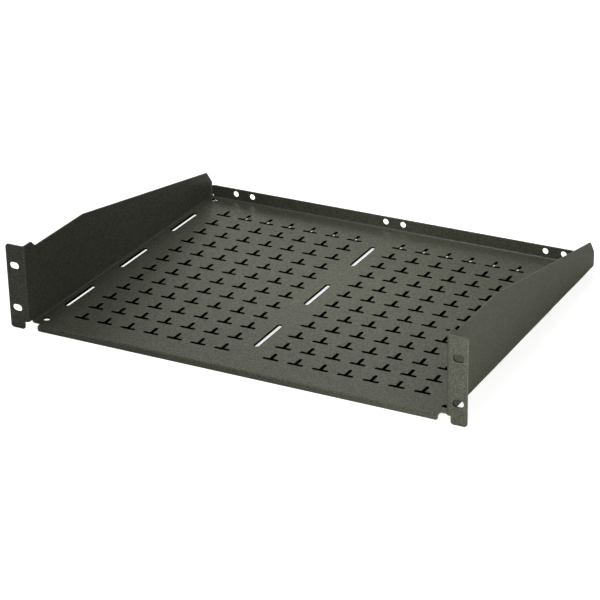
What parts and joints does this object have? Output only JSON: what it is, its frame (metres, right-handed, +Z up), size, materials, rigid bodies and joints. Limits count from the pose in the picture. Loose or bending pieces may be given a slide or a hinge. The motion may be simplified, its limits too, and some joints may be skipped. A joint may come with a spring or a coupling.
{
  "type": "cantilever rack shelf",
  "caption": "Front-mounted vented shelf for a 19-inch rack: folded steel tray with screw ears, sloping side panels, strap slots and a low rear flange.",
  "frame": {"origin": "centre of the four ear slots, on the back face of the ears, which meets the rack posts", "axes": "+X to the right as seen from the front of the rack, +Y from the ears towards the rear, +Z up"},
  "size_m": [0.4826, 0.361, 0.0882],
  "materials": {
    "powder_coat": "fine-textured matt charcoal powder coat"
  },
  "bodies": {
    "root": {"shelf_tray": "powder_coat"}
  },
  "joints": []
}
